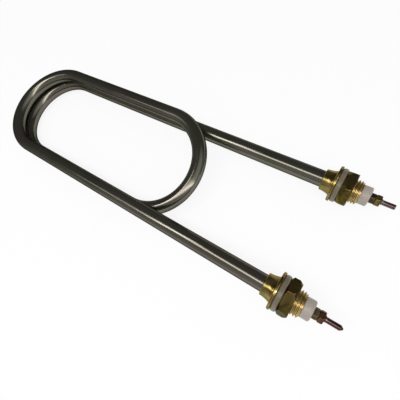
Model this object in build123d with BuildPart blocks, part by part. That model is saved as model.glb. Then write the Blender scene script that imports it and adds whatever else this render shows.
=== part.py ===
"""Tubular heating element: one sheathed rod wound into a one-and-a-half-turn oblong coil, with two
parallel legs that pass a wall through identical threaded brass fittings.

Frame (mm): the origin lies midway between the two legs, in the plane where the flanges seat on the
gaskets. +X runs out along the legs towards the terminals, +Z is up through the stacked turns.
Leg "a" is the low one at +Y, leg "b" is the high one at -Y.
"""

import os

from build123d import *

# ---------------------------------------------------------------- driving dimensions
# Wound tube
tube_d = 10.0  # outside diameter of the steel sheath
tube_wall = 0.8
leg_spacing = 70.0  # between the axes of the two legs, which is also the width of every half turn
leg_reach = 219.0  # from the centre of the far bends to the flange seats
loop_length = 105.0  # between the centres of the far bends and of the near bend
far_bend_offset = 2.0  # the upper far bend stands this much further out than the lower one
turn_gap = 0.2  # air between stacked turns

# What lies inside the sheath
packing_gap = 0.05  # between the sheath and the pressed magnesia
core_bore = 4.8  # channel of the winding along the magnesia
winding_d = 4.6  # outside of the close-wound resistance wire
winding_wall = 0.5  # thickness of that wire
cold_length = 45.0  # unheated length of each leg, measured inwards from the flange seat
pin_overlap = 8.0  # length of stud that the winding is pushed over

# Brass fitting
sleeve_d = 12.8
sleeve_length = 6.2
sleeve_lip = 0.3  # chamfer at the mouth of the sleeve
sleeve_root_d = 15.2  # where the sleeve, hollowed like a trumpet, meets the flange
root_fillet = 0.8
flange_d = 21.5
flange_t = 1.5
flange_round = 0.4
thread_d = 14.0  # M14 x 1.5
thread_length = 13.5  # from the flange seat to the end of the thread
end_chamfer = 0.85
relief_d = 12.2  # turned relief between the flange and the first thread
relief_w = 1.2
bore_clearance = 0.05  # radial, between the sheath and the bore of the fitting
tube_recess = 0.6  # the sheath ends this far inside the thread end

# Gasket and lock nut
gasket_inset = 0.5  # the rim of the gasket stands this far inside the rim of the flange
gasket_t = 3.2
gasket_round = 1.1
thread_clearance = 0.1  # radial, around the thread
nut_flats = 19.0
nut_height = 6.0
face_share = 0.98  # round flat face left by a nut's bevel, over the distance across its flats
seat_bevel_a = 2.8  # axial length of each bevel along the corners, on the gasket side
seat_bevel_b = 1.2
free_bevel_a = 0.6  # and on the terminal side
free_bevel_b = 2.1
nut_turn_a = 52.0  # rotation of each lock nut about its thread, degrees
nut_turn_b = 11.5

# Ceramic bush and seal
bush_d = 11.2
bush_length = 5.1
bush_round = 0.9
spigot_d = 8.2
spigot_length = 4.0
seal_length = 5.0
seal_gap = 0.05

# Terminal stud and its two small nuts
stud_d = 3.5  # M3.5
stud_thread_show = 0.5  # thread left showing beyond the outer nut
pin_d = 2.9  # plain end that the connector goes on
stud_clearance = 0.05
terminal_nut_flats = 5.5
terminal_nut_height = 2.8
jam_nut_flats = 6.0
jam_nut_height = 2.8
terminal_bevel = 0.5  # axial length of the bevels of the small nuts
terminal_nut_gap = 0.1
terminal_turn_a = 41.0
terminal_turn_b = 49.0
jam_turn_a = 43.0
jam_turn_b = 40.0
stud_reach_a = 7.5  # from the outer nut to the end of the plain pin
stud_reach_b = 8.9
tip_chamfer_a = 0.25
tip_length_b = 1.3  # conical point
tip_flat_b = 0.45  # radius left at that point

# ---------------------------------------------------------------- sizes that follow
tube_r = tube_d / 2
bore_r = tube_r - tube_wall
bend_r = leg_spacing / 2
turn_pitch = tube_d + turn_gap
leg_rise = 1.5 * turn_pitch  # height of leg b over leg a
levels = [-leg_rise / 2 + step * turn_pitch / 2 for step in range(4)]
far_x = -leg_reach
near_x = far_x + loop_length
upper_far_x = far_x - far_bend_offset
tube_end = thread_length - tube_recess
gasket_d = flange_d - 2 * gasket_inset
bush_end = thread_length + bush_length
seal_start = thread_length - spigot_length - seal_gap
core_end = seal_start - seal_length - seal_gap
winding_end = -cold_length
stud_start = winding_end - pin_overlap
terminal_nut_x = bush_end
jam_nut_x = terminal_nut_x + terminal_nut_height + terminal_nut_gap
stud_face = jam_nut_x + jam_nut_height
hex_ratio = 2 / 3**0.5  # across corners over across flats
same_size = 0.001  # two radii closer than this are the same edge


# ---------------------------------------------------------------- wound tube and its filling
def centre_line(leg_end):
    """Axis of the wound tube: level runs along X joined by tilted half circles, so that each bend
    climbs half a turn pitch and still meets both of its runs without a kink."""
    low, front, back, high = levels
    with BuildLine() as route:
        Line((leg_end, bend_r, low), (far_x, bend_r, low))
        ThreePointArc((far_x, bend_r, low), bend_crown(far_x, -1, low), (far_x, -bend_r, front))
        Line((far_x, -bend_r, front), (near_x, -bend_r, front))
        ThreePointArc((near_x, -bend_r, front), bend_crown(near_x, 1, front), (near_x, bend_r, back))
        Line((near_x, bend_r, back), (upper_far_x, bend_r, back))
        ThreePointArc(
            (upper_far_x, bend_r, back), bend_crown(upper_far_x, -1, back), (upper_far_x, -bend_r, high)
        )
        Line((upper_far_x, -bend_r, high), (leg_end, -bend_r, high))
    return route.wire()


def bend_crown(centre_x, side, level):
    """Outermost point of a half circle that climbs from level by half a turn pitch."""
    climb = turn_pitch / 2
    radius = (bend_r**2 + (climb / 2) ** 2) ** 0.5
    return (centre_x + side * radius, 0, level + climb / 2)


def swept_ring(leg_end, outer_r, inner_r):
    """Ring section carried along the axis of the wound tube, with both ends at x = leg_end."""
    mouth = Plane(origin=(leg_end, bend_r, levels[0]), x_dir=(0, 1, 0), z_dir=(-1, 0, 0))
    with BuildPart() as ring:
        with BuildSketch(mouth):
            Circle(outer_r)
            Circle(inner_r, mode=Mode.SUBTRACT)
        sweep(path=centre_line(leg_end))
    return ring


def finish(piece, name):
    """Labels a finished piece and writes it as one STEP file."""
    piece.part.label = name
    export_step(piece.part, "parts/" + name + ".step")


os.makedirs("parts", exist_ok=True)
finish(swept_ring(tube_end, tube_r, bore_r), "sheath_tube")
finish(swept_ring(core_end, bore_r - packing_gap, core_bore / 2), "magnesia_core")
finish(swept_ring(winding_end, winding_d / 2, winding_d / 2 - winding_wall), "heating_coil")


# ---------------------------------------------------------------- turned and hexagonal pieces
def section_plane(leg):
    """Half-section plane through a leg: local x runs along the leg, local y is the radius."""
    return Plane(origin=(0, leg["y"], leg["z"]), x_dir=(1, 0, 0), z_dir=(0, -1, 0))


def leg_axis(leg):
    return Axis((0, leg["y"], leg["z"]), (1, 0, 0))


def turned(leg, outline):
    """Revolves a closed outline of (distance along the leg, radius) about the axis of the leg."""
    with BuildPart() as piece:
        with BuildSketch(section_plane(leg)):
            with BuildLine():
                Polyline(*outline, close=True)
            make_face()
        revolve(axis=leg_axis(leg))
    return piece


def fitting(leg):
    """Turned brass body: sleeve over the sheath, flared flange and threaded shank in one piece."""
    mouth_x = -flange_t - sleeve_length
    sleeve_r = sleeve_d / 2
    thread_r = thread_d / 2
    root_r = sleeve_root_d / 2
    inner_r = tube_r + bore_clearance
    trumpet_start = (mouth_x + sleeve_lip, sleeve_r)
    trumpet_end = (-flange_t, root_r)
    trumpet_run = sleeve_length - sleeve_lip
    trumpet_rise = root_r - sleeve_r
    trumpet_r = (trumpet_run**2 + trumpet_rise**2) / (2 * trumpet_rise)
    with BuildPart() as body:
        with BuildSketch(section_plane(leg)):
            with BuildLine():
                Polyline(
                    (thread_length, inner_r),
                    (mouth_x, inner_r),
                    (mouth_x, sleeve_r - sleeve_lip),
                    trumpet_start,
                )
                RadiusArc(trumpet_start, trumpet_end, -trumpet_r)
                Line(trumpet_end, (-flange_t, flange_d / 2 - flange_round))
                RadiusArc(
                    (-flange_t, flange_d / 2 - flange_round),
                    (-flange_t + flange_round, flange_d / 2),
                    flange_round,
                )
                Polyline(
                    (-flange_t + flange_round, flange_d / 2),
                    (0, flange_d / 2),
                    (0, relief_d / 2),
                    (relief_w, relief_d / 2),
                    (relief_w + (thread_r - relief_d / 2), thread_r),
                    (thread_length - end_chamfer, thread_r),
                    (thread_length, thread_r - end_chamfer),
                    (thread_length, inner_r),
                )
            make_face()
        revolve(axis=leg_axis(leg))
        rings = body.edges().filter_by(GeomType.CIRCLE)
        fillet([ring for ring in rings if abs(ring.radius - root_r) < same_size], root_fillet)
    return body


def gasket(leg):
    """Flat silicone ring clamped between the flange and the lock nut, with its rim pressed round."""
    inner_r = thread_d / 2 + thread_clearance
    with BuildPart() as ring:
        with BuildSketch(section_plane(leg)):
            with Locations((gasket_t / 2, (gasket_d / 2 + inner_r) / 2)):
                Rectangle(gasket_t, gasket_d / 2 - inner_r)
        revolve(axis=leg_axis(leg))
        rim = ring.edges().filter_by(GeomType.CIRCLE).sort_by(SortBy.RADIUS)[-2:]
        fillet(rim, gasket_round)
    return ring


def hex_nut(leg, start, flats, height, hole_r, turn, seat_bevel, free_bevel):
    """Hexagon nut on the axis of a leg: a prism trimmed by a cone at each end, where each bevel is
    given by its length along the corners."""
    corner_r = flats * hex_ratio / 2
    face_r = flats * face_share / 2
    end = start + height
    face = Plane(origin=(start, leg["y"], leg["z"]), x_dir=(0, 1, 0), z_dir=(1, 0, 0))
    with BuildPart() as nut:
        with BuildSketch(face):
            RegularPolygon(flats / 2, 6, major_radius=False, rotation=turn)
            Circle(hole_r, mode=Mode.SUBTRACT)
        extrude(amount=height)
        with BuildSketch(section_plane(leg)):
            with BuildLine():
                Polyline(
                    (start, 0),
                    (start, face_r),
                    (start + seat_bevel, corner_r),
                    (end - free_bevel, corner_r),
                    (end, face_r),
                    (end, 0),
                    close=True,
                )
            make_face()
        revolve(axis=leg_axis(leg), mode=Mode.INTERSECT)
    return nut


def ceramic_bush(leg):
    """White steatite bush: a thick rounded head against the thread end, a spigot in the sheath."""
    hole_r = stud_d / 2 + stud_clearance
    with BuildPart() as bush:
        with BuildSketch(section_plane(leg)):
            with BuildLine():
                Polyline(
                    (thread_length - spigot_length, hole_r),
                    (thread_length - spigot_length, spigot_d / 2),
                    (thread_length, spigot_d / 2),
                    (thread_length, bush_d / 2),
                    (bush_end, bush_d / 2),
                    (bush_end, hole_r),
                    close=True,
                )
            make_face()
        revolve(axis=leg_axis(leg))
        head = bush.edges().filter_by(GeomType.CIRCLE).sort_by(SortBy.RADIUS)[-2:]
        outer_edge = head.sort_by(Axis.X)[-1]
        inner_edge = head.sort_by(Axis.X)[0]
        fillet(outer_edge, bush_round)
        fillet(inner_edge, bush_round / 2)
    return bush


def end_seal(leg):
    """Ring of sealing compound between the bush and the magnesia."""
    hole_r = stud_d / 2 + stud_clearance
    rim_r = bore_r - seal_gap
    seal_end = seal_start
    foot = seal_start - seal_length
    return turned(leg, [(foot, hole_r), (seal_end, hole_r), (seal_end, rim_r), (foot, rim_r)])


def terminal_stud(leg):
    """Stud that runs from the winding out through the bush and both small nuts, threaded there, and
    ends in a plain pin of smaller diameter."""
    stud_r = stud_d / 2
    pin_r = pin_d / 2
    shoulder = stud_face + stud_thread_show
    end = stud_face + leg["stud_reach"]
    outline = [
        (stud_start, 0),
        (stud_start, stud_r),
        (shoulder, stud_r),
        (shoulder + (stud_r - pin_r), pin_r),
        (end - leg["tip_length"], pin_r),
        (end, leg["tip_radius"]),
        (end, 0),
    ]
    return turned(leg, outline)


legs = [
    {
        "name": "a",
        "y": bend_r,
        "z": levels[0],
        "nut_turn": nut_turn_a,
        "bevels": (seat_bevel_a, free_bevel_a),
        "terminal_turn": terminal_turn_a,
        "jam_turn": jam_turn_a,
        "stud_reach": stud_reach_a,
        "tip_length": tip_chamfer_a,
        "tip_radius": pin_d / 2 - tip_chamfer_a,
    },
    {
        "name": "b",
        "y": -bend_r,
        "z": levels[3],
        "nut_turn": nut_turn_b,
        "bevels": (seat_bevel_b, free_bevel_b),
        "terminal_turn": terminal_turn_b,
        "jam_turn": jam_turn_b,
        "stud_reach": stud_reach_b,
        "tip_length": tip_length_b,
        "tip_radius": tip_flat_b,
    },
]

lock_bore_r = thread_d / 2 + thread_clearance
stud_bore_r = stud_d / 2 + stud_clearance
for leg in legs:
    tag = "_" + leg["name"]
    finish(fitting(leg), "fitting" + tag)
    finish(gasket(leg), "gasket" + tag)
    lock_nut = hex_nut(leg, gasket_t, nut_flats, nut_height, lock_bore_r, leg["nut_turn"], *leg["bevels"])
    finish(lock_nut, "lock_nut" + tag)
    finish(ceramic_bush(leg), "ceramic_bush" + tag)
    finish(end_seal(leg), "end_seal" + tag)
    finish(terminal_stud(leg), "terminal_stud" + tag)
    for name, start, flats, height, turn in (
        ("terminal_nut", terminal_nut_x, terminal_nut_flats, terminal_nut_height, leg["terminal_turn"]),
        ("jam_nut", jam_nut_x, jam_nut_flats, jam_nut_height, leg["jam_turn"]),
    ):
        small_nut = hex_nut(
            leg, start, flats, height, stud_bore_r, turn, terminal_bevel, terminal_bevel
        )
        finish(small_nut, name + tag)
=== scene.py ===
import math

import bpy
import numpy as np
from mathutils import Matrix, Vector


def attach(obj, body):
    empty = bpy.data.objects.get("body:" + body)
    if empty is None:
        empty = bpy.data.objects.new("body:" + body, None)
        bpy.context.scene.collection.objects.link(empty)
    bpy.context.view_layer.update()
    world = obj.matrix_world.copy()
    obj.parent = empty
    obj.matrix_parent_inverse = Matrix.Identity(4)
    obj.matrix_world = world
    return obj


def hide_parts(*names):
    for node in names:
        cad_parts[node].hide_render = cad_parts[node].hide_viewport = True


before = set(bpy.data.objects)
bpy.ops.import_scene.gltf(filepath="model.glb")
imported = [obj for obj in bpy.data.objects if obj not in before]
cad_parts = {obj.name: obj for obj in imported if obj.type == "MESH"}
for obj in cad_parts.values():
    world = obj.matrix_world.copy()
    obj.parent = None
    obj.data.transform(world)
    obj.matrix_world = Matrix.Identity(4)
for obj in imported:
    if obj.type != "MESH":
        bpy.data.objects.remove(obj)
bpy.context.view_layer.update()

# ---------------------------------------------------------------- wound sheath tube
# One seamless stainless tube, drawn, mirror-polished and then cold-bent in three half turns round a
# former. Its two ends stand inside the brass fittings. The bore is left open, as the filling is inside.

MM = 0.001
TUBE_R = 5.0 * MM
BORE_R = 4.2 * MM
BEND_R = 35.0 * MM
TURN_PITCH = 10.2 * MM
TUBE_END = 12.9 * MM
FAR_X = -219.0 * MM
NEAR_X = -114.0 * MM
UPPER_FAR_X = -221.0 * MM
AROUND = 72  # faces round the tube


def grid_mesh(name, points, wrap_rows, place=None):
    """Mesh of a grid of points[row, column]. Columns always run round and join up. Rows join up too
    where wrap_rows is true, and otherwise the first and last rows are closed by a fan to their mean."""
    rows, columns = points.shape[:2]
    coords = points.reshape(-1, 3)
    index = np.arange(rows * columns).reshape(rows, columns)
    below = np.roll(index, -1, axis=0) if wrap_rows else index[1:]
    here = index if wrap_rows else index[:-1]
    quads = np.stack((here, np.roll(here, -1, 1), np.roll(below, -1, 1), below), -1).reshape(-1, 4)
    faces = quads.tolist()
    if not wrap_rows:
        coords = np.vstack((coords, points[0].mean(0), points[-1].mean(0)))
        first, last = len(coords) - 2, len(coords) - 1
        top = np.stack((np.full(columns, first), np.roll(index[0], -1), index[0]), -1)
        end = np.stack((np.full(columns, last), index[-1], np.roll(index[-1], -1)), -1)
        faces += top.tolist() + end.tolist()
    mesh = bpy.data.meshes.new(name)
    mesh.from_pydata(coords.tolist(), [], faces)
    mesh.polygons.foreach_set("use_smooth", np.ones(len(mesh.polygons), bool))
    if place is not None:
        data = place.reshape(-1, 3)
        if not wrap_rows:
            data = np.vstack((data, place[0].mean(0), place[-1].mean(0)))
        layer = mesh.attributes.new("place", "FLOAT_VECTOR", "POINT")
        layer.data.foreach_set("vector", data.astype(np.float32).ravel())
    mesh.update()
    piece = bpy.data.objects.new(name, mesh)
    bpy.context.scene.collection.objects.link(piece)
    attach(piece, "root")
    return piece


def run(start, end, count):
    """Points and directions along a straight run, by linear steps that leave out the last point."""
    t = np.arange(count)[:, None] / count
    points = start + (end - start) * t
    return points, np.repeat(((end - start) / np.linalg.norm(end - start))[None], count, 0)


def half_turn(start, side, count):
    """Points and directions round a half circle from start that climbs half a turn pitch and bulges
    towards side: centre + radius * (cos t * u + sin t * w), with u from the centre back to the start."""
    end = start * (1, -1, 1) + (0, 0, TURN_PITCH / 2)
    centre = (start + end) / 2
    u = start - centre
    w = np.array((side, 0.0, 0.0)) * np.linalg.norm(u)
    t = (np.arange(count) / count * math.pi)[:, None]
    tangent = -np.sin(t) * u + np.cos(t) * w
    return centre + np.cos(t) * u + np.sin(t) * w, tangent / np.linalg.norm(w)


def level(step):
    """Height of a straight run: half a turn pitch for each half turn, and as much below the middle of
    the coil at the low leg as above it at the high one."""
    return (step - 1.5) * TURN_PITCH / 2


stations = [
    run(np.array((TUBE_END, BEND_R, level(0))), np.array((FAR_X, BEND_R, level(0))), 90),
    half_turn(np.array((FAR_X, BEND_R, level(0))), -1, 72),
    run(np.array((FAR_X, -BEND_R, level(1))), np.array((NEAR_X, -BEND_R, level(1))), 40),
    half_turn(np.array((NEAR_X, -BEND_R, level(1))), 1, 72),
    run(np.array((NEAR_X, BEND_R, level(2))), np.array((UPPER_FAR_X, BEND_R, level(2))), 40),
    half_turn(np.array((UPPER_FAR_X, BEND_R, level(2))), -1, 72),
    run(np.array((UPPER_FAR_X, -BEND_R, level(3))), np.array((TUBE_END, -BEND_R, level(3))), 90),
]
line_points = np.vstack([s[0] for s in stations] + [np.array([[TUBE_END, -BEND_R, level(3)]])])
line_ways = np.vstack([s[1] for s in stations] + [np.array([[1.0, 0.0, 0.0]])])


def tube_wall(radius, around):
    """Ring of a given radius carried along the centre line: point = line + radius * (cos a * side +
    sin a * top), with side level and across the tube and top square to both."""
    side = np.cross(line_ways, (0.0, 0.0, 1.0))
    side /= np.linalg.norm(side, axis=1)[:, None]
    top = np.cross(side, line_ways)
    a = np.linspace(0, 2 * math.pi, around, endpoint=False)[None, :, None]
    return line_points[:, None] + radius * (np.cos(a) * side[:, None] + np.sin(a) * top[:, None])


def tube_place(radius, around):
    """Unrolled position on the tube: (radius * cos a, radius * sin a, length run so far)."""
    steps = np.linalg.norm(np.diff(line_points, axis=0), axis=1)
    length = np.concatenate(([0.0], np.cumsum(steps)))
    a = np.linspace(0, 2 * math.pi, around, endpoint=False)
    place = np.zeros((len(length), around, 3))
    place[..., 0] = radius * np.cos(a)
    place[..., 1] = radius * np.sin(a)
    place[..., 2] = length[:, None]
    return place


tube = grid_mesh(
    "wound_tube",
    np.vstack((tube_wall(TUBE_R, AROUND), tube_wall(BORE_R, AROUND)[::-1])),
    True,
    np.vstack((tube_place(TUBE_R, AROUND), tube_place(BORE_R, AROUND)[::-1])),
)
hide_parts("sheath_tube")


def new_material(name):
    """Empty node material, with its tree and the one Principled BSDF wired to its output."""
    material = bpy.data.materials.new(name)
    material.use_nodes = True
    return material, material.node_tree, material.node_tree.nodes["Principled BSDF"]


def surface_group(name, sockets_in, outputs):
    """Empty shader node group with float or vector inputs and their defaults, and float outputs."""
    group = bpy.data.node_groups.new(name, "ShaderNodeTree")
    for title, value in sockets_in.items():
        kind = "NodeSocketVector" if value is None else "NodeSocketFloat"
        socket = group.interface.new_socket(title, in_out="INPUT", socket_type=kind)
        if value is not None:
            socket.default_value = value
    for title in outputs:
        group.interface.new_socket(title, in_out="OUTPUT", socket_type="NodeSocketFloat")
    return group, group.nodes.new("NodeGroupInput"), group.nodes.new("NodeGroupOutput")


def add(tree, kind, values=None, **settings):
    """New node with its settings and with the default values of its named or numbered inputs."""
    node = tree.nodes.new("ShaderNode" + kind)
    for key, value in settings.items():
        setattr(node, key, value)
    for key, value in (values or {}).items():
        node.inputs[key].default_value = value
    return node


def smear_group():
    """Handling marks: soft smears are one noise, and fine specks are a second one above a threshold."""
    group, given, out = surface_group(
        "handling_marks", {"Place": None, "Size": 60.0, "Speck Size": 900.0}, ("Smear", "Speck")
    )
    link = group.links.new
    wide = add(group, "TexNoise", {"Detail": 2.0, "Roughness": 0.45, "Distortion": 0.6})
    smear = add(group, "MapRange", {"From Min": 0.33, "From Max": 0.67}, interpolation_type="SMOOTHSTEP")
    fine = add(group, "TexNoise", {"Detail": 2.0})
    speck = add(group, "MapRange", {"From Min": 0.62, "From Max": 0.72}, interpolation_type="SMOOTHSTEP")
    link(given.outputs["Place"], wide.inputs["Vector"])
    link(given.outputs["Size"], wide.inputs["Scale"])
    link(wide.outputs["Fac"], smear.inputs["Value"])
    link(given.outputs["Place"], fine.inputs["Vector"])
    link(given.outputs["Speck Size"], fine.inputs["Scale"])
    link(fine.outputs["Fac"], speck.inputs["Value"])
    link(smear.outputs["Result"], out.inputs["Smear"])
    link(speck.outputs["Result"], out.inputs["Speck"])
    return group


def line_group():
    """Tool lines: a noise of the place stretched by one factor across the piece and by another along
    it, which gives the height of the grooves."""
    group, given, out = surface_group(
        "tool_lines", {"Place": None, "Round": 1500.0, "Long": 10.0}, ("Groove",)
    )
    link = group.links.new
    parts = add(group, "SeparateXYZ")
    joined = add(group, "CombineXYZ")
    for axis, factor in (("X", "Round"), ("Y", "Round"), ("Z", "Long")):
        stretched = add(group, "Math", operation="MULTIPLY")
        link(parts.outputs[axis], stretched.inputs[0])
        link(given.outputs[factor], stretched.inputs[1])
        link(stretched.outputs[0], joined.inputs[axis])
    noise = add(group, "TexNoise", {"Scale": 1.0, "Detail": 3.0, "Roughness": 0.6})
    link(given.outputs["Place"], parts.inputs[0])
    link(joined.outputs[0], noise.inputs["Vector"])
    link(noise.outputs["Fac"], out.inputs["Groove"])
    return group


HANDLING_MARKS = smear_group()
TOOL_LINES = line_group()


def use_group(tree, group, values):
    """Places a group in a material with this material's own input values."""
    node = tree.nodes.new("ShaderNodeGroup")
    node.node_tree = group
    for key, value in values.items():
        node.inputs[key].default_value = value
    return node


def polished_steel():
    """Drawn stainless painted dark: its grey is far darker than the steel's own, a painted shade for the
    dim room its polish reflects. The grey drifts to olive and to a faint purple heat tint, is dulled in
    smears, and has drawing lines along the tube from the unrolled position."""
    material, tree, shader = new_material("polished_stainless")
    link = tree.links.new
    place = add(tree, "Attribute", attribute_name="place")
    marks = use_group(tree, HANDLING_MARKS, {"Size": 30.0, "Speck Size": 1100.0})
    lines = use_group(tree, TOOL_LINES, {"Round": 1500.0, "Long": 9.0})
    # Both ends of this grey are painted shade, far darker than the steel's own colour.
    tint = add(tree, "ValToRGB")
    tint.color_ramp.elements[0].color = (0.152, 0.146, 0.118, 1)
    tint.color_ramp.elements[1].color = (0.176, 0.163, 0.142, 1)
    drift = add(tree, "TexNoise", {"Scale": 14.0, "Detail": 1.0})
    heat = add(tree, "ValToRGB")
    heat.color_ramp.elements[0].position = 0.42
    heat.color_ramp.elements[0].color = (0.96, 1.0, 0.94, 1)
    heat.color_ramp.elements[1].position = 0.62
    heat.color_ramp.elements[1].color = (1.0, 0.93, 0.94, 1)
    stained = add(tree, "MixRGB", {"Fac": 1.0}, blend_type="MULTIPLY")
    specked = add(tree, "MixRGB", {"Color2": (0.10, 0.09, 0.075, 1)})
    few = add(tree, "Math", {1: 0.12}, operation="MULTIPLY")
    rough = add(tree, "MapRange", {"To Min": 0.13, "To Max": 0.20})
    bump = add(tree, "Bump", {"Strength": 0.006, "Distance": 0.00003})
    link(place.outputs["Vector"], marks.inputs["Place"])
    link(place.outputs["Vector"], lines.inputs["Place"])
    link(place.outputs["Vector"], drift.inputs["Vector"])
    link(drift.outputs["Fac"], heat.inputs["Fac"])
    link(marks.outputs["Smear"], tint.inputs["Fac"])
    link(tint.outputs["Color"], stained.inputs["Color1"])
    link(heat.outputs["Color"], stained.inputs["Color2"])
    link(marks.outputs["Speck"], few.inputs[0])
    link(few.outputs[0], specked.inputs["Fac"])
    link(stained.outputs["Color"], specked.inputs["Color1"])
    link(specked.outputs["Color"], shader.inputs["Base Color"])
    link(marks.outputs["Smear"], rough.inputs["Value"])
    link(rough.outputs["Result"], shader.inputs["Roughness"])
    link(lines.outputs["Groove"], bump.inputs["Height"])
    link(bump.outputs["Normal"], shader.inputs["Normal"])
    shader.inputs["Metallic"].default_value = 0.92
    shader.inputs["Specular Tint"].default_value = (0.10, 0.11, 0.10, 1)
    return material


tube.data.materials.append(polished_steel())

# ---------------------------------------------------------------- filling inside the sheath
# Magnesia powder pressed hard round the winding, and the winding itself, a close coil of thin
# nickel-chrome wire. Both lie wholly inside the sheath.


def grain_group():
    """Grain of a pressed or fired powder: a fine noise, and pits where a cell pattern runs low."""
    group, given, out = surface_group(
        "pressed_grain", {"Place": None, "Grain Size": 2500.0, "Pit Size": 900.0}, ("Grain", "Pit")
    )
    link = group.links.new
    fine = add(group, "TexNoise", {"Detail": 4.0, "Roughness": 0.65})
    cells = add(group, "TexVoronoi")
    pit = add(group, "MapRange", {"From Min": 0.05, "From Max": 0.13, "To Min": 1.0, "To Max": 0.0})
    link(given.outputs["Place"], fine.inputs["Vector"])
    link(given.outputs["Grain Size"], fine.inputs["Scale"])
    link(given.outputs["Place"], cells.inputs["Vector"])
    link(given.outputs["Pit Size"], cells.inputs["Scale"])
    link(cells.outputs["Distance"], pit.inputs["Value"])
    link(fine.outputs["Fac"], out.inputs["Grain"])
    link(pit.outputs["Result"], out.inputs["Pit"])
    return group


PRESSED_GRAIN = grain_group()


def grained(name, low, high, pit_color, roughness, sizes, strength):
    """Dull grained finish: the colour runs from low to high with the grain and darkens in the pits."""
    material, tree, shader = new_material(name)
    link = tree.links.new
    here = add(tree, "TexCoord")
    grain = use_group(tree, PRESSED_GRAIN, {"Grain Size": sizes[0], "Pit Size": sizes[1]})
    cloud = add(tree, "TexNoise", {"Scale": 220.0, "Detail": 3.0})
    blend = add(tree, "Math", {1: 0.5, 2: 0.0}, operation="MULTIPLY_ADD")
    half = add(tree, "Math", {1: 0.5}, operation="MULTIPLY")
    tone = add(tree, "ValToRGB")
    tone.color_ramp.elements[0].position = 0.3
    tone.color_ramp.elements[0].color = (*low, 1)
    tone.color_ramp.elements[1].position = 0.7
    tone.color_ramp.elements[1].color = (*high, 1)
    pitted = add(tree, "MixRGB", {"Color2": (*pit_color, 1)})
    rough = add(tree, "MapRange", {"To Min": roughness[0], "To Max": roughness[1]})
    relief = add(tree, "Math", operation="SUBTRACT")
    bump = add(tree, "Bump", {"Strength": strength, "Distance": 0.0001})
    link(here.outputs["Object"], grain.inputs["Place"])
    link(here.outputs["Object"], cloud.inputs["Vector"])
    link(cloud.outputs["Fac"], half.inputs[0])
    link(grain.outputs["Grain"], blend.inputs[0])
    link(half.outputs[0], blend.inputs[2])
    link(blend.outputs[0], tone.inputs["Fac"])
    link(tone.outputs["Color"], pitted.inputs["Color1"])
    link(grain.outputs["Pit"], pitted.inputs["Fac"])
    link(pitted.outputs["Color"], shader.inputs["Base Color"])
    link(grain.outputs["Grain"], rough.inputs["Value"])
    link(rough.outputs["Result"], shader.inputs["Roughness"])
    link(grain.outputs["Grain"], relief.inputs[0])
    link(grain.outputs["Pit"], relief.inputs[1])
    link(relief.outputs[0], bump.inputs["Height"])
    link(bump.outputs["Normal"], shader.inputs["Normal"])
    return material


def wound_wire():
    """Dark nickel-chrome wire: its turns are a wave along the legs, about 1 mm long, that shades and
    rounds them."""
    material, tree, shader = new_material("resistance_wire")
    link = tree.links.new
    here = add(tree, "TexCoord")
    turns = add(tree, "TexWave", {"Scale": 310.0, "Distortion": 0.4, "Detail": 1.0})
    tone = add(tree, "ValToRGB")
    tone.color_ramp.elements[0].color = (0.05, 0.045, 0.045, 1)
    tone.color_ramp.elements[1].color = (0.30, 0.28, 0.27, 1)
    rough = add(tree, "MapRange", {"To Min": 0.55, "To Max": 0.32})
    bump = add(tree, "Bump", {"Strength": 0.6, "Distance": 0.0002})
    link(here.outputs["Object"], turns.inputs["Vector"])
    link(turns.outputs["Fac"], tone.inputs["Fac"])
    link(tone.outputs["Color"], shader.inputs["Base Color"])
    link(turns.outputs["Fac"], rough.inputs["Value"])
    link(rough.outputs["Result"], shader.inputs["Roughness"])
    link(turns.outputs["Fac"], bump.inputs["Height"])
    link(bump.outputs["Normal"], shader.inputs["Normal"])
    shader.inputs["Metallic"].default_value = 1.0
    return material


def dress(node, finish):
    """Gives a carried-over solid one finish."""
    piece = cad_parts[node]
    piece.data.materials.clear()
    piece.data.materials.append(finish)


pressed_magnesia = grained(
    "pressed_magnesia",
    low=(0.62, 0.60, 0.55),
    high=(0.80, 0.79, 0.74),
    pit_color=(0.45, 0.43, 0.38),
    roughness=(0.8, 0.95),
    sizes=(2600.0, 1100.0),
    strength=0.4,
)
dress("magnesia_core", pressed_magnesia)
dress("heating_coil", wound_wire())

# ---------------------------------------------------------------- threaded brass fittings
# One turned brass body on each leg: a hollowed sleeve brazed over the sheath, a thin flange that
# seats on the gasket, and an M14 x 1.5 shank cut with a single-start thread.

THREAD_R = 7.0 * MM
THREAD_DEPTH = 0.9 * MM
THREAD_PITCH = 1.5 * MM
THREAD_END = 13.5 * MM
END_CHAMFER = 0.85 * MM
RELIEF_R = 6.1 * MM  # turned relief between the flange and the first thread
RELIEF_W = 1.3 * MM
SHANK_LEAST_R = 5.9 * MM  # what lies further out than this, past the relief, is thread
FLANGE_R = 10.75 * MM
FLANGE_T = 1.5 * MM
FLANGE_ROUND = 0.4 * MM
SLEEVE_LENGTH = 6.2 * MM
SLEEVE_LIP = 0.3 * MM
FILLET_R = 0.8 * MM
LEGS = {"a": np.array((0.0, BEND_R, level(0))), "b": np.array((0.0, -BEND_R, level(3)))}


def arc_rows(centre, radius, start, end, count):
    """Profile points (x, r) on a circle: centre + radius * (cos t, sin t), t in degrees."""
    t = np.radians(np.linspace(start, end, count))
    return np.stack((centre[0] + radius * np.cos(t), centre[1] + radius * np.sin(t)), 1)


def straight_rows(start, end, count):
    """Profile points (x, r) at even steps from start towards end, without the end."""
    t = np.arange(count)[:, None] / count
    return np.array(start) + (np.array(end) - np.array(start)) * t


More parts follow.
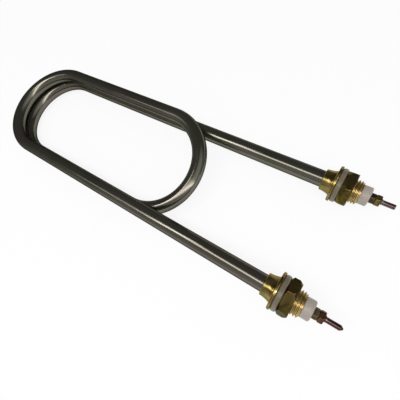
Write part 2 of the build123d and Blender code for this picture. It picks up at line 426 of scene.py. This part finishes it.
def turned_piece(name, rows, leg, around, wrap=True, radius=None):
    """Profile rows (x, r) carried round the axis of a leg: point = leg + (x, r cos a, r sin a), where
    radius may replace r by a function of (x, r, a)."""
    a = np.linspace(0, 2 * math.pi, around, endpoint=False)[None]
    x = np.repeat(rows[:, :1], around, 1)
    r = np.repeat(rows[:, 1:], around, 1)
    if radius is not None:
        r = radius(x, r, a)
    points = leg + np.stack((x, r * np.cos(a), r * np.sin(a)), -1)
    place = np.stack((r * np.cos(a), r * np.sin(a), x), -1)
    return grid_mesh(name, points[:, ::-1], wrap, place[:, ::-1])


def thread_height(x, a, pitch):
    """Height of a rounded thread from 0 at the root to 1 at the crest: a clipped cosine of the turn
    count x / pitch - a / 2 pi."""
    wave = 0.5 + 0.72 * np.cos(2 * math.pi * (x / pitch - a / (2 * math.pi)))
    return np.clip(wave, 0.0, 1.0)


def shank_radius(x, r, a):
    """Cut thread on the shank: crest radius less the depth of the groove, under an end chamfer."""
    crest = np.minimum(THREAD_R, THREAD_R - END_CHAMFER + (THREAD_END - x))
    root = THREAD_R - THREAD_DEPTH
    cut = np.minimum(crest, root + (THREAD_R - root) * thread_height(x, a, THREAD_PITCH))
    on_shank = (x > RELIEF_W) & (r > SHANK_LEAST_R)
    return np.where(on_shank, np.maximum(cut, root - 0.1 * MM), r)


def fitting_rows():
    """Closed profile of the body, from the thread end through the bore and back along the outside.
    The hollow of the sleeve is an arc that leaves the mouth along the axis, and a fillet joins it to
    the back of the flange."""
    mouth = -FLANGE_T - SLEEVE_LENGTH
    bore, sleeve, root = 5.05 * MM, 6.4 * MM, 7.6 * MM
    start = mouth + SLEEVE_LIP
    length, rise = -FLANGE_T - start, root - sleeve
    hollow_r = (length**2 + rise**2) / (2 * rise)
    fillet_run, fillet_lift = 0.62 * MM, 0.72 * MM
    sweep = math.degrees(math.asin((length - fillet_run) / hollow_r))
    trumpet = arc_rows((start, sleeve + hollow_r), hollow_r, -90, -90 + sweep, 26)
    fillet = arc_rows((-FLANGE_T - FILLET_R, trumpet[-1][1] + fillet_lift), FILLET_R, -62, 0, 9)
    rim_r = FLANGE_R - FLANGE_ROUND
    rim = arc_rows((-FLANGE_T + FLANGE_ROUND, rim_r), FLANGE_ROUND, 180, 90, 7)
    return np.vstack(
        (
            straight_rows((THREAD_END, bore), (mouth, bore), 30),
            straight_rows((mouth, bore), (mouth, sleeve - SLEEVE_LIP), 6),
            straight_rows((mouth, sleeve - SLEEVE_LIP), (start, sleeve), 3),
            trumpet,
            fillet,
            straight_rows((-FLANGE_T, fillet[-1][1]), (-FLANGE_T, rim_r), 10)[1:],
            rim,
            straight_rows((-0.1 * MM, FLANGE_R), (0, FLANGE_R - 0.1 * MM), 2),
            straight_rows((0, FLANGE_R - 0.12 * MM), (0, RELIEF_R), 12),
            straight_rows((0, RELIEF_R), (RELIEF_W, RELIEF_R), 6),
            straight_rows((RELIEF_W + 0.01 * MM, RELIEF_R), (THREAD_END, RELIEF_R), 210),
            straight_rows((THREAD_END, RELIEF_R), (THREAD_END, bore), 5),
        )
    )


def rub_group():
    """Rubbed edges: where the surface is sharply convex, broken up by a noise."""
    group, given, out = surface_group(
        "rubbed_edges", {"Place": None, "Start": 0.52, "Full": 0.60, "Break Size": 700.0}, ("Rubbed",)
    )
    link = group.links.new
    shape = add(group, "NewGeometry")
    sharp = add(group, "MapRange")
    patch = add(group, "TexNoise", {"Detail": 3.0})
    broken = add(group, "MapRange", {"From Min": 0.35, "From Max": 0.6, "To Min": 0.25})
    both = add(group, "Math", operation="MULTIPLY")
    link(shape.outputs["Pointiness"], sharp.inputs["Value"])
    link(given.outputs["Start"], sharp.inputs["From Min"])
    link(given.outputs["Full"], sharp.inputs["From Max"])
    link(given.outputs["Place"], patch.inputs["Vector"])
    link(given.outputs["Break Size"], patch.inputs["Scale"])
    link(patch.outputs["Fac"], broken.inputs["Value"])
    link(sharp.outputs["Result"], both.inputs[0])
    link(broken.outputs["Result"], both.inputs[1])
    link(both.outputs[0], out.inputs["Rubbed"])
    return group


RUBBED_EDGES = rub_group()


def worked_metal(name, tones, stain, rubbed, roughness, lines, edge_tint):
    """Cut and handled metal: the tone runs between two colours with the smears, a stain drifts over
    it, tool lines groove it, and rubbed edges are paler and smoother."""
    material, tree, shader = new_material(name)
    link = tree.links.new
    place = add(tree, "Attribute", attribute_name="place")
    marks = use_group(tree, HANDLING_MARKS, {"Size": 150.0, "Speck Size": 1600.0})
    grooves = use_group(tree, TOOL_LINES, {"Round": lines[0], "Long": lines[1]})
    rub = use_group(tree, RUBBED_EDGES, {"Break Size": 600.0})
    tone = add(tree, "ValToRGB")
    tone.color_ramp.elements[0].color = (*tones[0], 1)
    tone.color_ramp.elements[1].color = (*tones[1], 1)
    drift = add(tree, "TexNoise", {"Scale": 110.0, "Detail": 2.0, "Distortion": 0.8})
    amount = add(tree, "MapRange", {"From Min": 0.45, "From Max": 0.62, "To Max": 0.8})
    stained = add(tree, "MixRGB", {"Color2": (*stain, 1)})
    few = add(tree, "Math", {1: 0.35}, operation="MULTIPLY")
    specked = add(tree, "MixRGB", {"Color2": (stain[0] * 0.4, stain[1] * 0.35, stain[2] * 0.3, 1)})
    edged = add(tree, "MixRGB", {"Color2": (*rubbed, 1)})
    dull = add(tree, "MapRange", {"To Min": roughness[0], "To Max": roughness[1]})
    keen = add(tree, "Math", {1: -0.08}, operation="MULTIPLY")
    rough = add(tree, "Math", operation="ADD")
    bump = add(tree, "Bump", {"Strength": 0.12, "Distance": 0.00006})
    link(place.outputs["Vector"], marks.inputs["Place"])
    link(place.outputs["Vector"], grooves.inputs["Place"])
    link(place.outputs["Vector"], rub.inputs["Place"])
    link(place.outputs["Vector"], drift.inputs["Vector"])
    link(marks.outputs["Smear"], tone.inputs["Fac"])
    link(tone.outputs["Color"], stained.inputs["Color1"])
    link(drift.outputs["Fac"], amount.inputs["Value"])
    link(amount.outputs["Result"], stained.inputs["Fac"])
    link(marks.outputs["Speck"], few.inputs[0])
    link(few.outputs[0], specked.inputs["Fac"])
    link(stained.outputs["Color"], specked.inputs["Color1"])
    link(specked.outputs["Color"], edged.inputs["Color1"])
    link(rub.outputs["Rubbed"], edged.inputs["Fac"])
    link(edged.outputs["Color"], shader.inputs["Base Color"])
    link(marks.outputs["Smear"], dull.inputs["Value"])
    link(rub.outputs["Rubbed"], keen.inputs[0])
    link(dull.outputs["Result"], rough.inputs[0])
    link(keen.outputs[0], rough.inputs[1])
    link(rough.outputs[0], shader.inputs["Roughness"])
    link(grooves.outputs["Groove"], bump.inputs["Height"])
    link(bump.outputs["Normal"], shader.inputs["Normal"])
    shader.inputs["Metallic"].default_value = 1.0
    shader.inputs["Specular Tint"].default_value = (*edge_tint, 1)
    return material


# Painted shade: these brass tones are darker than the brass's own colour, for the dim room its polish
# reflects.
turned_brass = worked_metal(
    "turned_brass",
    tones=((0.24, 0.165, 0.050), (0.42, 0.300, 0.110)),
    stain=(0.20, 0.185, 0.055),
    rubbed=(0.75, 0.56, 0.30),
    roughness=(0.17, 0.28),
    lines=(150.0, 5200.0),
    edge_tint=(0.55, 0.55, 0.50),
)

# Painted highlight: the thread's brass is a lighter copy of the body's brass, for the lamp light its
# turns catch.
thread_painted_highlight = worked_metal(
    "thread_brass_painted_highlight",
    tones=((0.42, 0.300, 0.110), (0.64, 0.480, 0.210)),
    stain=(0.34, 0.240, 0.080),
    rubbed=(0.85, 0.66, 0.36),
    roughness=(0.26, 0.36),
    lines=(300.0, 2600.0),
    edge_tint=(0.7, 0.7, 0.65),
)

for tag, leg in LEGS.items():
    body = turned_piece("fitting_body_" + tag, fitting_rows(), leg, 144, True, shank_radius)
    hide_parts("fitting_" + tag)
    body.data.materials.append(turned_brass)
    body.data.materials.append(thread_painted_highlight)
    # The thread's faces take the lighter brass of the painted highlight.
    middles = np.empty(len(body.data.polygons) * 3)
    body.data.polygons.foreach_get("center", middles)
    x, y, z = (middles.reshape(-1, 3) - leg).T
    threaded = (x > RELIEF_W) & (np.hypot(y, z) > SHANK_LEAST_R)
    body.data.polygons.foreach_set("material_index", threaded.astype(np.int32))

# ---------------------------------------------------------------- gaskets
# Moulded rings of grey translucent silicone, squeezed between flange and lock nut until the rim
# bulges a little.

silicone = grained(
    "moulded_silicone",
    low=(0.120, 0.096, 0.062),
    high=(0.172, 0.143, 0.100),
    pit_color=(0.114, 0.090, 0.058),
    roughness=(0.28, 0.40),
    sizes=(700.0, 300.0),
    strength=0.05,
)

for tag, leg in LEGS.items():
    inner, outer, width, corner = 7.1 * MM, 10.25 * MM, 3.2 * MM, 1.1 * MM
    rows = np.vstack(
        (
            straight_rows((width, inner), (0, inner), 8),
            straight_rows((0, inner), (0, outer - corner), 10),
            arc_rows((corner, outer - corner), corner, 180, 90, 10),
            straight_rows((corner, outer), (width - corner, outer), 4)[1:],
            arc_rows((width - corner, outer - corner), corner, 90, 0, 10),
            straight_rows((width, outer - corner), (width, inner), 10)[1:],
        )
    )
    ring = turned_piece("flange_gasket_" + tag, rows, leg, 96)
    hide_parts("gasket_" + tag)
    ring.data.materials.append(silicone)

# ---------------------------------------------------------------- hexagon nuts
# Brass lock nuts on the shanks and two small nuts on each stud, cut from drawn hexagon bar. Their
# corners are turned away by a cone at each face and all edges are slightly broken.


def soft_least(first, second, width):
    """Smooth minimum: -width * log(exp(-first / width) + exp(-second / width))."""
    least = np.minimum(first, second)
    return least - width * np.log(np.exp(-(first - least) / width) + np.exp(-(second - least) / width))


LAND_SHARE = 0.49  # radius of the round flat left on a face, over the distance across flats
CORNER_SHARE = 0.994  # how much of its reach a rubbed corner keeps
HOLE_BEVEL = 0.35 * MM  # on the mouth of the large nuts' holes


def nut_piece(name, leg, start, height, flats, hole, turn, bevels, around, steps, broken):
    """Hexagon nut: the radius at (x, a) is the smooth minimum of the hexagon, flats / 2 / cos of the
    angle from the nearest flat, and of two cones that fall from the corners to the faces."""
    apothem, corner, land = flats / 2, flats / math.sqrt(3), flats * LAND_SHARE
    end = start + height
    rows = np.vstack(
        (
            straight_rows((end, hole), (start, hole), 10),
            straight_rows((start, hole), (start, apothem), 12),
            straight_rows((start, apothem), (end, apothem), steps),
            straight_rows((end, apothem), (end, hole), 12),
        )
    )

    def hexagon_radius(x, r, a):
        """Share of the way from hole to flat, spread from the hole out to the smooth minimum."""
        flat_angle = (a - math.radians(turn)) % (math.pi / 3) - math.pi / 6
        hexagon = apothem / np.cos(flat_angle) + 0 * x
        hexagon = soft_least(hexagon, corner * CORNER_SHARE + 0 * hexagon, broken)
        seat_cone = land + (x - start) * (corner - land) / bevels[0]
        free_cone = land + (end - x) * (corner - land) / bevels[1]
        outer = soft_least(soft_least(hexagon, seat_cone, broken), free_cone, broken)
        share = (r - hole) / (apothem - hole)
        face = hole + share * (outer - hole)
        mouth = HOLE_BEVEL - np.minimum(x - start, end - x)
        return np.where(share > 1e-6, face, hole + np.clip(mouth, 0, None) * (hole > 5 * MM))

    return turned_piece(name, rows, leg, around, True, hexagon_radius)


# Of each nut: where it starts on its leg, height, distance across flats and radius of the hole, and
# for each leg how far it is turned and the lengths of its bevels at the seat and at the free face.
NUTS = {
    "lock_nut": (3.2, 6.0, 19.0, 7.1, {"a": (52.0, (2.8, 0.6)), "b": (11.5, (1.2, 2.1))}),
    "terminal_nut": (18.6, 2.8, 5.5, 1.8, {"a": (41.0, (0.5, 0.5)), "b": (49.0, (0.5, 0.5))}),
    "jam_nut": (21.5, 2.8, 6.0, 1.8, {"a": (43.0, (0.5, 0.5)), "b": (40.0, (0.5, 0.5))}),
}
# Painted shade: the lock nuts' brass is darker than the body's, for the dark reflections in their
# facets.
drawn_brass = worked_metal(
    "drawn_hexagon_brass",
    tones=((0.125, 0.098, 0.024), (0.225, 0.178, 0.048)),
    stain=(0.130, 0.090, 0.034),
    rubbed=(0.70, 0.55, 0.38),
    roughness=(0.20, 0.32),
    lines=(1700.0, 60.0),
    edge_tint=(0.50, 0.50, 0.45),
)
# Leg b's lock nut gets a darker copy of the same brass, more painted shade for its dark facets.
nut_brass_painted_shade = worked_metal(
    "hexagon_brass_painted_shade",
    tones=((0.062, 0.050, 0.012), (0.100, 0.080, 0.021)),
    stain=(0.070, 0.044, 0.017),
    rubbed=(0.70, 0.55, 0.38),
    roughness=(0.20, 0.32),
    lines=(1700.0, 60.0),
    edge_tint=(0.50, 0.50, 0.45),
)
dulled_nut = worked_metal(
    "dulled_small_nut",
    tones=((0.080, 0.064, 0.030), (0.190, 0.140, 0.080)),
    stain=(0.045, 0.048, 0.025),
    rubbed=(0.55, 0.45, 0.33),
    roughness=(0.25, 0.38),
    lines=(2600.0, 200.0),
    edge_tint=(0.5, 0.5, 0.45),
)
red_nut = worked_metal(
    "reddened_small_nut",
    tones=((0.080, 0.046, 0.030), (0.170, 0.100, 0.062)),
    stain=(0.090, 0.075, 0.027),
    rubbed=(0.55, 0.38, 0.28),
    roughness=(0.22, 0.36),
    lines=(2600.0, 200.0),
    edge_tint=(0.5, 0.45, 0.42),
)
golden_nut = worked_metal(
    "golden_small_nut",
    tones=((0.130, 0.100, 0.032), (0.290, 0.225, 0.078)),
    stain=(0.070, 0.070, 0.022),
    rubbed=(0.62, 0.50, 0.28),
    roughness=(0.22, 0.36),
    lines=(2600.0, 200.0),
    edge_tint=(0.5, 0.5, 0.42),
)
NUT_FINISH = {
    "lock_nut": ("brass", {"a": drawn_brass, "b": nut_brass_painted_shade}),
    "terminal_nut": ("plated_nut", {"a": dulled_nut, "b": dulled_nut}),
    "jam_nut": ("brass_nut", {"a": golden_nut, "b": red_nut}),
}

for kind, (start, height, flats, hole, turns) in NUTS.items():
    for tag, (turn, bevels) in turns.items():
        large = kind == "lock_nut"
        nut = nut_piece(
            "hex_" + kind + "_" + tag,
            LEGS[tag],
            start * MM,
            height * MM,
            flats * MM,
            hole * MM,
            turn,
            (bevels[0] * MM, bevels[1] * MM),
            240 if large else 144,
            64 if large else 40,
            (0.05 if large else 0.03) * MM,
        )
        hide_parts(kind + "_" + tag)
        slot, finishes = NUT_FINISH[kind]
        nut.data.materials.append(finishes[tag])

# ---------------------------------------------------------------- ceramic bushes
# Pressed and fired steatite: a thick head with a soft outer edge against the thread end, and a spigot
# inside the sheath. A ring of brown sealing resin closes the filling behind each spigot.

steatite = grained(
    "fired_steatite",
    low=(0.310, 0.268, 0.230),
    high=(0.385, 0.340, 0.300),
    pit_color=(0.280, 0.240, 0.205),
    roughness=(0.34, 0.50),
    sizes=(1500.0, 380.0),
    strength=0.06,
)
sealing_resin = grained(
    "sealing_resin",
    low=(0.34, 0.29, 0.24),
    high=(0.46, 0.41, 0.34),
    pit_color=(0.25, 0.20, 0.16),
    roughness=(0.35, 0.55),
    sizes=(1200.0, 380.0),
    strength=0.25,
)

for tag, leg in LEGS.items():
    hole, head, spigot = 1.8 * MM, 5.6 * MM, 4.1 * MM
    foot, face, end = 9.5 * MM, THREAD_END, 18.6 * MM
    soft, small = 0.9 * MM, 0.45 * MM
    rows = np.vstack(
        (
            straight_rows((end, hole), (foot, hole), 14),
            straight_rows((foot, hole), (foot, spigot), 5),
            straight_rows((foot, spigot), (face, spigot), 6),
            straight_rows((face, spigot), (face, head - small), 4),
            arc_rows((face + small, head - small), small, 180, 90, 7),
            straight_rows((face + small, head), (end - soft, head), 8)[1:],
            arc_rows((end - soft, head - soft), soft, 90, 0, 12),
            straight_rows((end, head - soft), (end, hole), 12)[1:],
        )
    )
    bush = turned_piece("steatite_bush_" + tag, rows, leg, 96)
    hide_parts("ceramic_bush_" + tag)
    bush.data.materials.append(steatite)
    dress("end_seal_" + tag, sealing_resin)

# ---------------------------------------------------------------- terminal studs
# M3.5 steel studs that carry the current out through the bushes. Past the outer nut each is a plain
# pin: leg b's was nipped to a point, leg a's was cut off square.

STUD_R, PIN_R = 1.75 * MM, 1.45 * MM
STUD_START, STUD_THREAD, STUD_SHOULDER = -53.0 * MM, 8.0 * MM, 24.8 * MM
STUD_PITCH, STUD_GROOVE, SHOULDER_LENGTH = 0.6 * MM, 0.3 * MM, 0.3 * MM
# Of each pin: where it ends, how long its tip is, and the radius left at the very end.
PINS = {"a": (31.8 * MM, 0.25 * MM, 1.2 * MM), "b": (33.2 * MM, 1.3 * MM, 0.45 * MM)}


def stud_radius(x, r, a):
    """M3.5 thread from inside the bush to the shoulder, plain elsewhere: r less the groove's depth."""
    groove = STUD_GROOVE * (1 - thread_height(x, a, STUD_PITCH))
    threaded = (x > STUD_THREAD) & (x < STUD_SHOULDER) & (r > PIN_R)
    return np.where(threaded, r - groove, r)


reddened_steel = worked_metal(
    "reddened_stud_steel",
    tones=((0.115, 0.066, 0.060), (0.225, 0.150, 0.142)),
    stain=(0.085, 0.042, 0.040),
    rubbed=(0.55, 0.42, 0.40),
    roughness=(0.18, 0.30),
    lines=(2400.0, 160.0),
    edge_tint=(0.6, 0.5, 0.5),
)
mottled_steel = worked_metal(
    "mottled_stud_steel",
    tones=((0.130, 0.112, 0.112), (0.330, 0.300, 0.305)),
    stain=(0.110, 0.052, 0.058),
    rubbed=(0.55, 0.48, 0.48),
    roughness=(0.22, 0.36),
    lines=(2400.0, 160.0),
    edge_tint=(0.6, 0.55, 0.55),
)
STUD_FINISH = {"a": mottled_steel, "b": reddened_steel}

for tag, leg in LEGS.items():
    end, tip, flat = PINS[tag]
    neck = STUD_SHOULDER + SHOULDER_LENGTH
    rows = np.vstack(
        (
            straight_rows((STUD_START, 0.2 * MM), (STUD_START, STUD_R), 4),
            straight_rows((STUD_START, STUD_R), (STUD_THREAD, STUD_R), 30),
            straight_rows((STUD_THREAD, STUD_R), (STUD_SHOULDER, STUD_R), 200),
            straight_rows((STUD_SHOULDER, STUD_R), (neck, PIN_R), 3),
            straight_rows((neck, PIN_R), (end - tip, PIN_R), 24),
            straight_rows((end - tip, PIN_R), (end, flat), 8),
            straight_rows((end, flat), (end, 0.1 * MM), 4),
        )
    )
    stud = turned_piece("stud_and_pin_" + tag, rows, leg, 64, False, stud_radius)
    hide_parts("terminal_stud_" + tag)
    stud.data.materials.append(STUD_FINISH[tag])

# ---------------------------------------------------------------- table, light and camera
# The element lies on a white table as it comes to rest, on the flange of its low leg and on its low
# far bend, and so a little tilted. Long soft lamps hang over it, and the camera looks down from above
# the fittings.
REST_POINT = Vector((-0.0011, 0.0338, -0.0185))
REST_UP = Vector((0.0142, 0.1089, 0.9939)).normalized()


def table_top():
    """Square plane through the resting point and square to the upright there, 6 m wide: the point plus
    3 m each way along two level directions."""
    across = REST_UP.cross(Vector((0, 1, 0))).normalized()
    along = REST_UP.cross(across)
    corners = [
        REST_POINT + 3 * (i * across + j * along) for i, j in ((-1, 1), (1, 1), (1, -1), (-1, -1))
    ]
    mesh = bpy.data.meshes.new("table_top")
    mesh.from_pydata([tuple(v) for v in corners], [], [(0, 1, 2, 3)])
    table = bpy.data.objects.new("table_top", mesh)
    bpy.context.scene.collection.objects.link(table)
    material = bpy.data.materials.new("white_table")
    material.use_nodes = True
    tree = material.node_tree
    tree.nodes.clear()
    out = add(tree, "OutputMaterial")
    matt = add(tree, "BsdfDiffuse", {"Color": (0.9, 0.9, 0.9, 1)})
    glow = add(tree, "Emission", {"Color": (1, 1, 1, 1)})
    path = add(tree, "LightPath")
    seen = add(tree, "Math", operation="MAXIMUM")
    here = add(tree, "TexCoord")
    reach = add(tree, "VectorMath", operation="LENGTH")
    fade = add(
        tree,
        "MapRange",
        {"From Min": 0.30, "From Max": 0.80, "To Min": 0.87, "To Max": 1.0},
        interpolation_type="SMOOTHSTEP",
    )
    full = add(tree, "Math", operation="MULTIPLY")
    mirrored = add(tree, "Math", {1: 0.5}, operation="MULTIPLY")
    share = add(tree, "Math", operation="MAXIMUM")
    mix = add(tree, "MixShader")
    link = tree.links.new
    link(path.outputs["Is Camera Ray"], seen.inputs[0])
    link(path.outputs["Is Transmission Ray"], seen.inputs[1])
    link(here.outputs["Object"], reach.inputs[0])
    link(reach.outputs["Value"], fade.inputs["Value"])
    link(seen.outputs[0], full.inputs[0])
    link(fade.outputs["Result"], full.inputs[1])
    link(path.outputs["Is Glossy Ray"], mirrored.inputs[0])
    link(full.outputs[0], share.inputs[0])
    link(mirrored.outputs[0], share.inputs[1])
    link(share.outputs[0], mix.inputs[0])
    link(matt.outputs[0], mix.inputs[1])
    link(glow.outputs[0], mix.inputs[2])
    link(mix.outputs[0], out.inputs["Surface"])
    mesh.materials.append(material)


table_top()


def studio_world():
    """White to the camera and a grey fill for soft light. Reflections see a dim room: a low base, plus a
    smooth step of the direction's part towards one bright side, plus one towards a patch over the
    terminals."""
    world = bpy.data.worlds.new("studio")
    bpy.context.scene.world = world
    world.use_nodes = True
    tree = world.node_tree
    tree.nodes.clear()
    link = tree.links.new
    out = add(tree, "OutputWorld")
    glow = add(tree, "Background", {"Color": (1, 1, 1, 1)})
    path = add(tree, "LightPath")
    where = add(tree, "TexCoord")
    toward = add(tree, "VectorMath", {1: (0.45, -0.85, -0.25)}, operation="DOT_PRODUCT")
    room = add(
        tree,
        "MapRange",
        {"From Min": -0.6, "From Max": 1.0, "To Min": 0.085, "To Max": 0.60},
        interpolation_type="SMOOTHSTEP",
    )
    patch_part = add(tree, "VectorMath", {1: (0.70, 0.20, 0.68)}, operation="DOT_PRODUCT")
    patch = add(
        tree,
        "MapRange",
        {"From Min": 0.76, "From Max": 0.98, "To Max": 0.55},
        interpolation_type="SMOOTHSTEP",
    )
    mirrored = add(tree, "Math", operation="ADD")
    fill = add(tree, "Mix", {"A": 0.55})
    shown = add(tree, "Math", operation="MAXIMUM")
    final = add(tree, "Mix", {"B": 1.0})
    link(where.outputs["Generated"], toward.inputs[0])
    link(toward.outputs["Value"], room.inputs["Value"])
    link(path.outputs["Is Glossy Ray"], fill.inputs["Factor"])
    link(where.outputs["Generated"], patch_part.inputs[0])
    link(patch_part.outputs["Value"], patch.inputs["Value"])
    link(room.outputs["Result"], mirrored.inputs[0])
    link(patch.outputs["Result"], mirrored.inputs[1])
    link(mirrored.outputs[0], fill.inputs["B"])
    link(path.outputs["Is Camera Ray"], shown.inputs[0])
    link(path.outputs["Is Transmission Ray"], shown.inputs[1])
    link(shown.outputs[0], final.inputs["Factor"])
    link(fill.outputs["Result"], final.inputs["A"])
    link(final.outputs["Result"], glow.inputs["Strength"])
    link(glow.outputs[0], out.inputs["Surface"])


studio_world()


def soft_lamp(name, centre, size, turn, radiance):
    """Rectangular lamp that shines straight down, turned about the upright: its power is radiance
    times pi times its area."""
    data = bpy.data.lights.new(name, "AREA")
    data.shape = "RECTANGLE"
    data.size, data.size_y = size
    data.energy = radiance * math.pi * size[0] * size[1]
    lamp = bpy.data.objects.new(name, data)
    lamp.location = centre
    lamp.rotation_euler = (0, 0, math.radians(turn))
    lamp.visible_camera = False
    bpy.context.scene.collection.objects.link(lamp)


soft_lamp("ceiling_lamp", (0.72, -0.12, 0.5), (2.15, 0.20), 0, 1.8)
soft_lamp("lamp_core", (0.72, -0.12, 0.499), (2.15, 0.07), 0, 3.6)
soft_lamp("end_lamp", (-0.49, -0.2, 0.5), (0.34, 0.12), 10, 1.4)
soft_lamp("cross_lamp", (-0.31, -0.115, 0.495), (0.34, 0.05), 56, 4.5)

# The camera: where its eye is, its right and up directions, and in pixels of the frame its focal
# length and the point that it looks straight at.
FRAME_PX, FOCAL_PX = 400, 293.85
AXIS_PX = (194.224, 203.920)
eye = Vector((0.00688630, -0.02770043, 0.17227046))
camera_x = Vector((0.81035691, 0.49080073, -0.32005675))
camera_y = Vector((-0.42525008, 0.86841218, 0.2549954))
camera_z = camera_x.cross(camera_y)
camera_data = bpy.data.cameras.new("camera")
camera_data.sensor_width = 36.0
camera_data.lens = FOCAL_PX / FRAME_PX * camera_data.sensor_width
camera_data.shift_x = 0.5 - AXIS_PX[0] / FRAME_PX
camera_data.shift_y = AXIS_PX[1] / FRAME_PX - 0.5
camera_data.clip_start = 0.005
camera = bpy.data.objects.new("camera", camera_data)
camera.matrix_world = Matrix(
    [(*[v[i] for v in (camera_x, camera_y, camera_z)], eye[i]) for i in range(3)] + [(0, 0, 0, 1)]
)
bpy.context.scene.collection.objects.link(camera)
bpy.context.scene.camera = camera
bpy.context.scene.view_settings.view_transform = "Standard"
